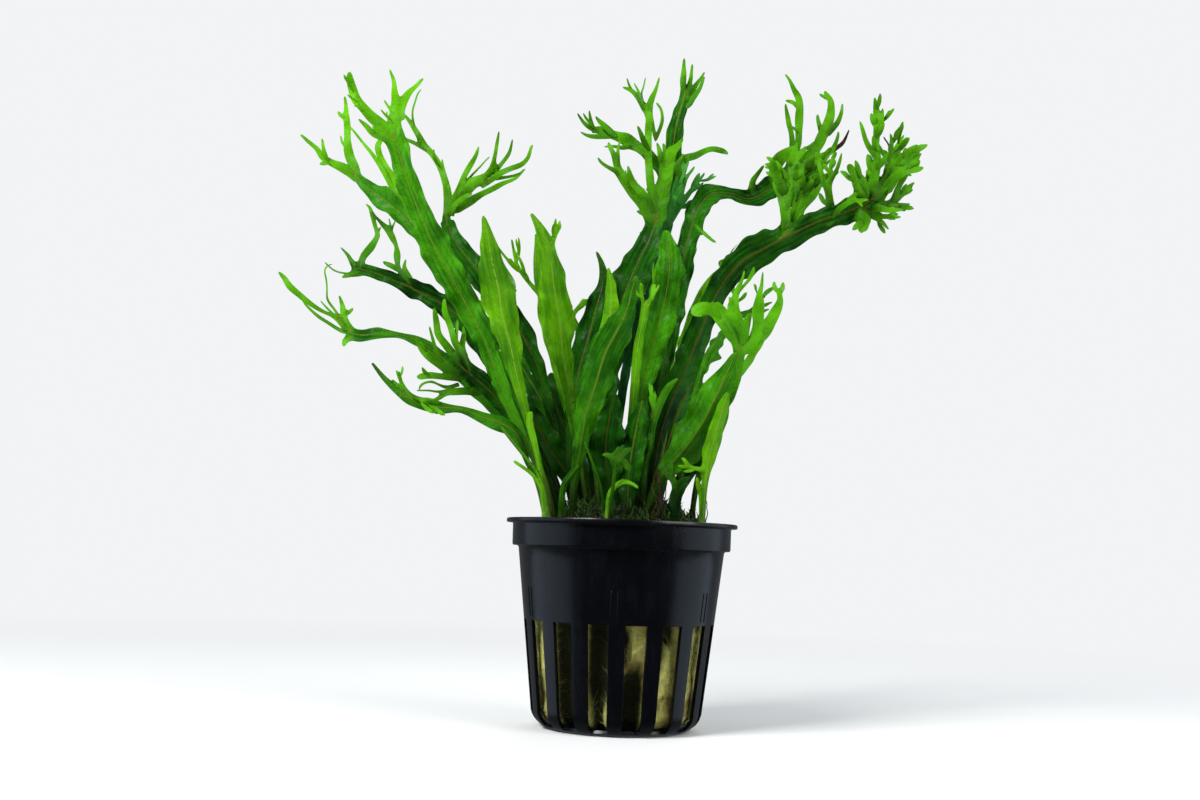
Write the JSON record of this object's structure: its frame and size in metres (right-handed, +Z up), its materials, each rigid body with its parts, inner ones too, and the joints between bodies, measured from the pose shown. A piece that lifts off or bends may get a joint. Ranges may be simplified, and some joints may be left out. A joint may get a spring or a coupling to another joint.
{
  "type": "potted windelov java fern",
  "caption": "Crested aquatic fern clump growing from a rhizome and mossy root mat in a round slotted net pot filled with stone wool.",
  "frame": {"origin": "centre of the pot's flat base, on the surface that it stands on", "axes": "+Z up along the pot's axis, +X to the right and +Y away from the side that the picture shows"},
  "size_m": [0.154, 0.0869, 0.1701],
  "materials": {
    "black_plastic": "glossy black injection-moulded plastic with fine scuffs and a damp sheen",
    "stone_wool": "yellow-olive mineral fibre, matt and damp, with brown stains",
    "moss": "dark green-brown moss and fine root hair",
    "rhizome_skin": "dark brown scaly rhizome and roots",
    "leaf_lime": "young lime-green leaf, smooth, slightly translucent",
    "leaf_bright": "bright green leaf with a pale midrib, satin",
    "leaf_mid": "mid-green leaf with a tan midrib, satin",
    "leaf_dark": "dark green mature leaf with a brown midrib, satin",
    "leaf_teal": "blue-green leaf seen from its underside, satin"
  },
  "bodies": {
    "root": {"aerial_root": "rhizome_skin", "frond_back_blade_center": "leaf_dark", "frond_back_blade_left": "leaf_dark", "frond_back_center": "leaf_dark", "frond_back_left": "leaf_mid", "frond_back_lime_crest": "leaf_lime", "frond_back_right": "leaf_bright", "frond_bright_center": "leaf_lime", "frond_bright_center_back": "leaf_lime", "frond_bright_center_small": "leaf_lime", "frond_center_broad": "leaf_dark", "frond_center_dark_left": "leaf_dark", "frond_center_dark_low": "leaf_dark", "frond_center_front": "leaf_bright", "frond_center_lime_crest": "leaf_lime", "frond_center_mid_low": "leaf_mid", "frond_center_tall": "leaf_mid", "frond_center_thin_bright": "leaf_bright", "frond_front_curl": "leaf_lime", "frond_front_fiddle": "leaf_lime", "frond_front_small_crest": "leaf_bright", "frond_front_stem": "leaf_bright", "frond_front_thin": "leaf_lime", "frond_left_bright": "leaf_lime", "frond_left_dark_inner": "leaf_dark", "frond_left_dark_long": "leaf_dark", "frond_left_dark_low": "leaf_dark", "frond_left_forked": "leaf_dark", "frond_left_low": "leaf_mid", "frond_left_low_long": "leaf_mid", "frond_left_mid_crest": "leaf_dark", "frond_left_short": "leaf_bright", "frond_left_stems": "leaf_mid", "frond_left_tall": "leaf_bright", "frond_left_upper": "leaf_mid", "frond_pale_stalk": "leaf_lime", "frond_right_arch_upper": "leaf_dark", "frond_right_big_arch": "leaf_dark", "frond_right_center_column": "leaf_bright", "frond_right_club": "leaf_bright", "frond_right_dark_inner": "leaf_dark", "frond_right_dark_low": "leaf_dark", "frond_right_dark_under": "leaf_dark", "frond_right_lime": "leaf_lime", "frond_right_lower": "leaf_bright", "frond_right_mid_crest": "leaf_bright", "frond_right_sliver": "leaf_lime", "frond_right_stem": "leaf_lime", "frond_teal_crest": "leaf_teal", "moss_and_root_mat": "moss", "net_pot": "black_plastic", "rhizome": "rhizome_skin", "stone_wool_plug": "stone_wool"}
  },
  "joints": []
}
